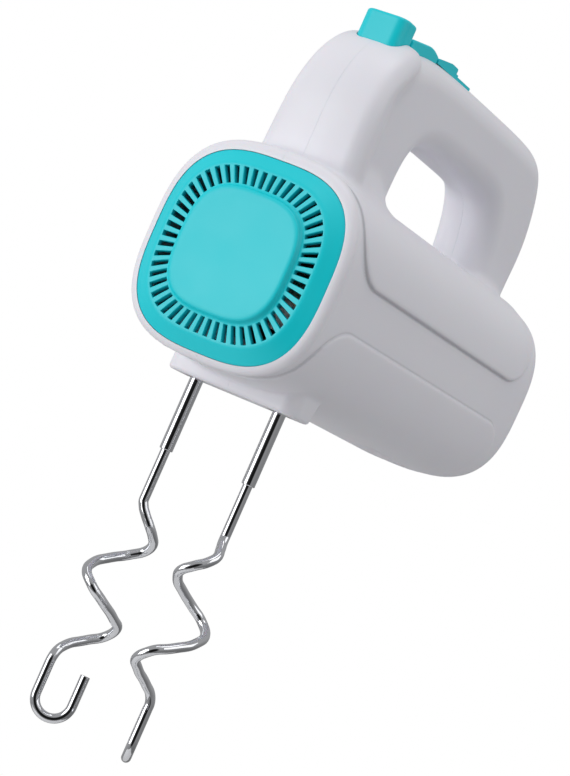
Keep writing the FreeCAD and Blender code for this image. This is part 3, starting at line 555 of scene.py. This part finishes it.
def slotted_cover():
    """Front cover: a raised pad, a ring of radial slots and a sloping band out to the rim."""
    phases = np.array(SLOT_PHASES)
    fractions = ((np.arange(SLOT_COUNT)[:, None] + phases[None]) / SLOT_COUNT).ravel()
    columns = len(fractions)
    rings = len(COVER_RINGS)
    points = []
    for layer in (1, 2):
        for ring in COVER_RINGS:
            xz = superellipse(ring[0], fractions)
            points.append(np.stack([xz[:, 0], np.full(columns, ring[layer]), xz[:, 1]], 1))
    points.append(np.array([[0.0, COVER_RINGS[0][1], 0.0], [0.0, COVER_RINGS[0][2], 0.0]]))
    points = np.concatenate(points)

    def at(layer, ring, column):
        return (layer * rings + ring) * columns + column % columns

    def is_slot(ring, column):
        return SLOT_FIRST <= ring < SLOT_LAST and column % len(SLOT_PHASES) in SLOT_OPEN

    faces = []
    for ring in range(rings - 1):
        for column in range(columns):
            if is_slot(ring, column):
                continue
            a, b, c, d = ((ring, column), (ring, column + 1), (ring + 1, column + 1),
                          (ring + 1, column))
            faces.append([at(0, *p) for p in (a, b, c, d)])
            faces.append([at(1, *p) for p in (d, c, b, a)])
            for other, (p, q) in (((ring, (column - 1) % columns), (d, a)),
                                  ((ring, (column + 1) % columns), (b, c)),
                                  ((ring - 1, column), (a, b)), ((ring + 1, column), (c, d))):
                if is_slot(*other):
                    faces.append([at(0, *q), at(0, *p), at(1, *p), at(1, *q)])
    centre = 2 * rings * columns
    for column in range(columns):
        faces.append([centre, at(0, 0, column + 1), at(0, 0, column)])
        faces.append([centre + 1, at(1, 0, column), at(1, 0, column + 1)])
        faces.append([at(0, rings - 1, column), at(0, rings - 1, column + 1),
                      at(1, rings - 1, column + 1), at(1, rings - 1, column)])
    cover = make_object("slotted_cover", to_row(points), faces)
    outward(cover)
    edge = cover.modifiers.new("edge", "BEVEL")
    edge.width = 0.22 * MM
    edge.segments = 2
    edge.limit_method = "ANGLE"
    edge.angle_limit = math.radians(50)
    apply_modifiers(cover)
    smooth_by_angle(cover, 45)
    return cover


cover = slotted_cover()


# ---------------------------------------------------------------- materials
def finish(name, colour, rough, metallic=0.0, other=None, mottle=30.0, grain=900.0, bump=0.15,
           depth=0.02, spread=0.08, bands=None, **sockets):
    """Procedural finish: mottled colour, uneven roughness and a fine moulded or worked grain."""
    material = bpy.data.materials.new(name)
    material.use_nodes = True
    nodes, links = material.node_tree.nodes, material.node_tree.links
    shader = nodes["Principled BSDF"]
    shader.inputs["Metallic"].default_value = metallic
    for socket, value in sockets.items():
        shader.inputs[socket.replace("_", " ")].default_value = value
    place = nodes.new("ShaderNodeTexCoord")

    def noise(scale, detail, seed):
        node = nodes.new("ShaderNodeTexNoise")
        node.noise_dimensions = "4D"
        node.inputs["W"].default_value = seed
        node.inputs["Scale"].default_value = scale
        node.inputs["Detail"].default_value = detail
        links.new(place.outputs["Object"], node.inputs["Vector"])
        return node.outputs["Fac"]

    def spread_between(source, low, high):
        node = nodes.new("ShaderNodeMapRange")
        node.inputs["From Min"].default_value = 0.3
        node.inputs["From Max"].default_value = 0.7
        node.inputs["To Min"].default_value = low
        node.inputs["To Max"].default_value = high
        links.new(source, node.inputs["Value"])
        return node.outputs["Result"]

    tint = nodes.new("ShaderNodeMix")
    tint.data_type = "RGBA"
    links.new(spread_between(noise(mottle, 3.0, 1.0), 0.0, 1.0), tint.inputs["Factor"])
    tint.inputs[6].default_value = (*colour, 1.0)
    tint.inputs[7].default_value = (*(other or [c * 0.96 for c in colour]), 1.0)
    links.new(tint.outputs[2], shader.inputs["Base Color"])
    unevenness = noise(mottle * 4, 4.0, 2.0)
    links.new(spread_between(unevenness, rough - spread / 2, rough + spread / 2),
              shader.inputs["Roughness"])
    if bands:
        wave = nodes.new("ShaderNodeTexWave")
        wave.bands_direction = bands[0]
        wave.inputs["Scale"].default_value = bands[1]
        wave.inputs["Distortion"].default_value = bands[2]
        links.new(place.outputs["Object"], wave.inputs["Vector"])
        height = wave.outputs["Fac"]
    else:
        height = noise(grain, 2.0, 3.0)
    relief = nodes.new("ShaderNodeBump")
    relief.inputs["Strength"].default_value = bump
    relief.inputs["Distance"].default_value = depth * MM
    links.new(height, relief.inputs["Height"])
    links.new(relief.outputs["Normal"], shader.inputs["Normal"])
    return material


FINISHES = {
    "white_plastic": finish("white_plastic", (0.79, 0.785, 0.84), 0.36, other=(0.77, 0.765, 0.825),
                            mottle=14.0, grain=1400.0, bump=0.10, depth=0.02,
                            Subsurface_Weight=0.08, Subsurface_Scale=0.002),
    "teal_plastic": finish("teal_plastic", (0.004, 0.62, 0.70), 0.40, other=(0.003, 0.60, 0.68),
                           mottle=18.0, grain=1500.0, bump=0.12, depth=0.02,
                           Specular_IOR_Level=0.42),
    "chrome_steel": finish("chrome_steel", (0.72, 0.73, 0.76), 0.07, metallic=1.0, mottle=60.0,
                           grain=500.0, bump=0.02, depth=0.02, spread=0.03),
    "steel": finish("steel", (0.62, 0.62, 0.63), 0.30, metallic=1.0, mottle=120.0, grain=2200.0,
                    bump=0.2, bands=("Z", 900.0, 2.0)),
    "lamination": finish("lamination", (0.36, 0.37, 0.39), 0.45, metallic=1.0, mottle=80.0,
                         bump=0.6, depth=0.05, bands=("Y", 620.0, 0.3)),
    "copper": finish("copper", (0.66, 0.30, 0.13), 0.34, metallic=0.85, other=(0.52, 0.21, 0.09),
                     mottle=150.0, bump=0.8, depth=0.1, bands=("Z", 420.0, 1.2)),
    "bronze": finish("bronze", (0.62, 0.45, 0.24), 0.42, metallic=1.0, other=(0.50, 0.36, 0.20),
                     mottle=400.0, grain=2600.0, bump=0.35),
    "diecast": finish("diecast", (0.62, 0.63, 0.65), 0.46, metallic=1.0, mottle=90.0,
                      grain=1100.0, bump=0.4, depth=0.04),
    "natural_nylon": finish("natural_nylon", (0.80, 0.76, 0.64), 0.45, mottle=40.0, grain=1200.0,
                            Subsurface_Weight=0.15, Subsurface_Scale=0.003),
    "black_plastic": finish("black_plastic", (0.022, 0.022, 0.025), 0.48, mottle=50.0,
                            other=(0.032, 0.032, 0.035), grain=1800.0, bump=0.3),
    "carbon": finish("carbon", (0.03, 0.03, 0.032), 0.6, other=(0.05, 0.05, 0.05), mottle=500.0,
                     grain=2500.0, bump=0.5),
    "green_board": finish("green_board", (0.02, 0.16, 0.07), 0.3, other=(0.03, 0.22, 0.10),
                          mottle=220.0, grain=1600.0, bump=0.3, bands=("X", 160.0, 0.0)),
    "rubber": finish("rubber", (0.02, 0.02, 0.022), 0.62, other=(0.03, 0.03, 0.031), mottle=90.0,
                     grain=2400.0, bump=0.4, depth=0.04),
}


def panel_groove_with_painted_shade(material, panel, shade):
    """Darkens the colour with painted shade along the narrow groove that runs round a side panel, and
    dents it.
    """
    nodes, links = material.node_tree.nodes, material.node_tree.links
    shader = nodes["Principled BSDF"]
    place = nodes.new("ShaderNodeTexCoord")
    split = nodes.new("ShaderNodeSeparateXYZ")
    links.new(place.outputs["Object"], split.inputs["Vector"])

    def maths(operation, *values):
        node = nodes.new("ShaderNodeMath")
        node.operation = operation
        for socket, value in zip(node.inputs, values):
            if isinstance(value, float):
                socket.default_value = value
            else:
                links.new(value, socket)
        return node.outputs["Value"]

    def smooth(value, low, high, at_low, at_high):
        node = nodes.new("ShaderNodeMapRange")
        node.interpolation_type = "SMOOTHSTEP"
        links.new(value, node.inputs["Value"])
        for socket, number in zip(("From Min", "From Max", "To Min", "To Max"),
                                  (low, high, at_low, at_high)):
            node.inputs[socket].default_value = number
        return node.outputs["Result"]

    y0, y1, z0, z1, radius = panel
    past = []
    for axis, low, high in (("Y", y0, y1), ("Z", z0, z1)):
        shift = ORIGIN["XYZ".index(axis)]
        centre = float(((low + high) / 2 + shift) * MM)
        reach = float(((high - low) / 2 - radius) * MM)
        past.append(maths("SUBTRACT", maths("ABSOLUTE", maths("SUBTRACT", split.outputs[axis], centre)),
                          reach))
    outer = [maths("MAXIMUM", value, 0.0) for value in past]
    squares = [maths("MULTIPLY", value, value) for value in outer]
    corner = maths("SQRT", maths("ADD", *squares))
    inner = maths("MINIMUM", maths("MAXIMUM", *past), 0.0)
    middle = float((radius + GROOVE_OFFSET) * MM)
    away = maths("ABSOLUTE", maths("SUBTRACT", maths("ADD", corner, inner), middle))
    line = smooth(away, 0.0, GROOVE_HALF * MM, 1.0, 0.0)
    rear = [float((end + ORIGIN[1]) * MM) for end in GROOVE_FADE]
    mask = maths("MULTIPLY", line, smooth(split.outputs["Y"], *rear, 1.0, 0.0))
    # painted shade: mixes the colour toward a dark grey along the groove, where shadow would gather
    tint = nodes.new("ShaderNodeMix")
    tint.data_type = "RGBA"
    links.new(maths("MULTIPLY", mask, shade), tint.inputs["Factor"])
    links.new(shader.inputs["Base Color"].links[0].from_socket, tint.inputs[6])
    tint.inputs[7].default_value = GROOVE_PAINTED_SHADE
    links.new(tint.outputs[2], shader.inputs["Base Color"])
    dent = nodes.new("ShaderNodeBump")
    dent.invert = True
    dent.inputs["Strength"].default_value = 0.6
    dent.inputs["Distance"].default_value = GROOVE_DEPTH * MM
    links.new(mask, dent.inputs["Height"])
    links.new(shader.inputs["Normal"].links[0].from_socket, dent.inputs["Normal"])
    links.new(dent.outputs["Normal"], shader.inputs["Normal"])


# painted shade and a dent along the grooves of both side panels
panel_groove_with_painted_shade(FINISHES["white_plastic"], UPPER_PANEL, 0.45)
panel_groove_with_painted_shade(FINISHES["white_plastic"], LOWER_PANEL, 0.22)

for row in frame["record"]["subparts"]:
    node = frame["nodes"][row["node"]]
    for place in node.material_slots:
        place.material = FINISHES[row["material_slot"]]

for piece, node, slot_name in ((housings["right"], "right_shell", "white_plastic"),
                               (housings["left"], "left_shell", "white_plastic"),
                               (cover, "front_grille", "teal_plastic")):
    piece.data.materials.clear()
    piece.data.materials.append(FINISHES[slot_name])
    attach(piece, "housing")
    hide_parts(node)


# ---------------------------------------------------------------- camera, floor and light
AZIMUTH = math.radians(27.79)
ELEVATION = math.radians(-2.6)
ROLL = math.radians(23.72)
CAMERA_PLACE = Vector(to_row(np.array([518.3, -904.5, -87.0])))

ahead = Vector((-math.sin(AZIMUTH) * math.cos(ELEVATION), math.cos(AZIMUTH) * math.cos(ELEVATION),
                -math.sin(ELEVATION)))
right = Vector((math.cos(AZIMUTH), math.sin(AZIMUTH), 0.0))
up = right.cross(ahead)
turned_right = right * math.cos(ROLL) + up * math.sin(ROLL)
turned_up = up * math.cos(ROLL) - right * math.sin(ROLL)
camera_data = bpy.data.cameras.new("camera")
camera_data.lens = 124.6
camera_data.sensor_width = 36.0
camera_data.clip_end = 200.0
camera = bpy.data.objects.new("camera", camera_data)
camera.matrix_world = Matrix(((turned_right.x, turned_up.x, -ahead.x, CAMERA_PLACE.x),
                              (turned_right.y, turned_up.y, -ahead.y, CAMERA_PLACE.y),
                              (turned_right.z, turned_up.z, -ahead.z, CAMERA_PLACE.z),
                              (0.0, 0.0, 0.0, 1.0)))
bpy.context.scene.collection.objects.link(camera)
bpy.context.scene.camera = camera

FLOOR_Z = -1.45
floor_mesh = bpy.data.meshes.new("floor")
floor_mesh.from_pydata([(-1.2, -1.2, FLOOR_Z), (1.2, -1.2, FLOOR_Z), (1.2, 1.2, FLOOR_Z),
                        (-1.2, 1.2, FLOOR_Z)], [], [(0, 1, 2, 3)])
floor = bpy.data.objects.new("floor", floor_mesh)
floor_mesh.materials.append(finish("floor_paper", (0.86, 0.86, 0.86), 0.9, mottle=2.0, grain=300.0,
                                   bump=0.05))
bpy.context.scene.collection.objects.link(floor)


def softbox(name, place, target, width, height, watts, colour=(1.0, 1.0, 1.0)):
    light = bpy.data.lights.new(name, "AREA")
    light.shape = "RECTANGLE"
    light.size = width
    light.size_y = height
    light.energy = watts
    light.color = colour
    obj = bpy.data.objects.new(name, light)
    obj.location = place
    obj.rotation_euler = (Vector(target) - Vector(place)).to_track_quat("-Z", "Y").to_euler()
    bpy.context.scene.collection.objects.link(obj)


def light_place(across, above, towards):
    """A place 1.7 m from the object, given by its direction as the main view shows it."""
    way = turned_right * across + turned_up * above - ahead * towards
    return way.normalized() * 1.7


OBJECT_MIDDLE = (0.0, -0.02, -0.08)
softbox("key", light_place(-0.85, 0.30, 0.60), OBJECT_MIDDLE, 1.0, 1.3, 13.5)
softbox("upper_fill", light_place(0.35, 0.95, 0.25), OBJECT_MIDDLE, 1.2, 0.8, 5.0)
softbox("side_fill", light_place(0.95, 0.15, 0.45), OBJECT_MIDDLE, 1.2, 1.2, 5.0)

world = bpy.data.worlds.new("studio")
bpy.context.scene.world = world
world.use_nodes = True
sky_nodes, sky_links = world.node_tree.nodes, world.node_tree.links
sky_nodes.clear()
backdrop = sky_nodes.new("ShaderNodeBackground")
backdrop.inputs["Color"].default_value = (1.0, 1.0, 1.0, 1.0)
backdrop.inputs["Strength"].default_value = 1.0
ambient = sky_nodes.new("ShaderNodeBackground")
sky_place = sky_nodes.new("ShaderNodeTexCoord")


def sky_shade(direction, low_dot, high_dot, low_grey, high_grey):
    """Grey that changes with how closely the sky's direction follows the given one."""
    closeness = sky_nodes.new("ShaderNodeVectorMath")
    closeness.operation = "DOT_PRODUCT"
    closeness.inputs[1].default_value = tuple(direction.normalized())
    sky_links.new(sky_place.outputs["Generated"], closeness.inputs[0])
    scaled = sky_nodes.new("ShaderNodeMapRange")
    scaled.interpolation_type = "SMOOTHSTEP"
    for socket, value in (("From Min", low_dot), ("From Max", high_dot),
                          ("To Min", low_grey), ("To Max", high_grey)):
        scaled.inputs[socket].default_value = value
    sky_links.new(closeness.outputs["Value"], scaled.inputs["Value"])
    return scaled.outputs["Result"]


# dimmer from below, with a dark screen around the camera for the chrome to reflect
dimmer = sky_nodes.new("ShaderNodeMath")
dimmer.operation = "MULTIPLY"
sky_links.new(sky_shade(turned_up, -0.9, 0.3, 0.42, 1.0), dimmer.inputs[0])
sky_links.new(sky_shade(-ahead, 0.80, 0.93, 1.0, 0.03), dimmer.inputs[1])
sky_links.new(dimmer.outputs["Value"], ambient.inputs["Color"])
ray = sky_nodes.new("ShaderNodeLightPath")
# a studio's surroundings look darker in reflections than they light the object
strength = sky_nodes.new("ShaderNodeMapRange")
strength.inputs["To Min"].default_value = 0.66
strength.inputs["To Max"].default_value = 0.42
sky_links.new(ray.outputs["Is Glossy Ray"], strength.inputs["Value"])
sky_links.new(strength.outputs["Result"], ambient.inputs["Strength"])
blend = sky_nodes.new("ShaderNodeMixShader")
sky_out = sky_nodes.new("ShaderNodeOutputWorld")
sky_links.new(ray.outputs["Is Camera Ray"], blend.inputs["Fac"])
sky_links.new(ambient.outputs["Background"], blend.inputs[1])
sky_links.new(backdrop.outputs["Background"], blend.inputs[2])
sky_links.new(blend.outputs["Shader"], sky_out.inputs["Surface"])

bpy.context.scene.view_settings.view_transform = "Standard"
bpy.context.scene.view_settings.look = "None"
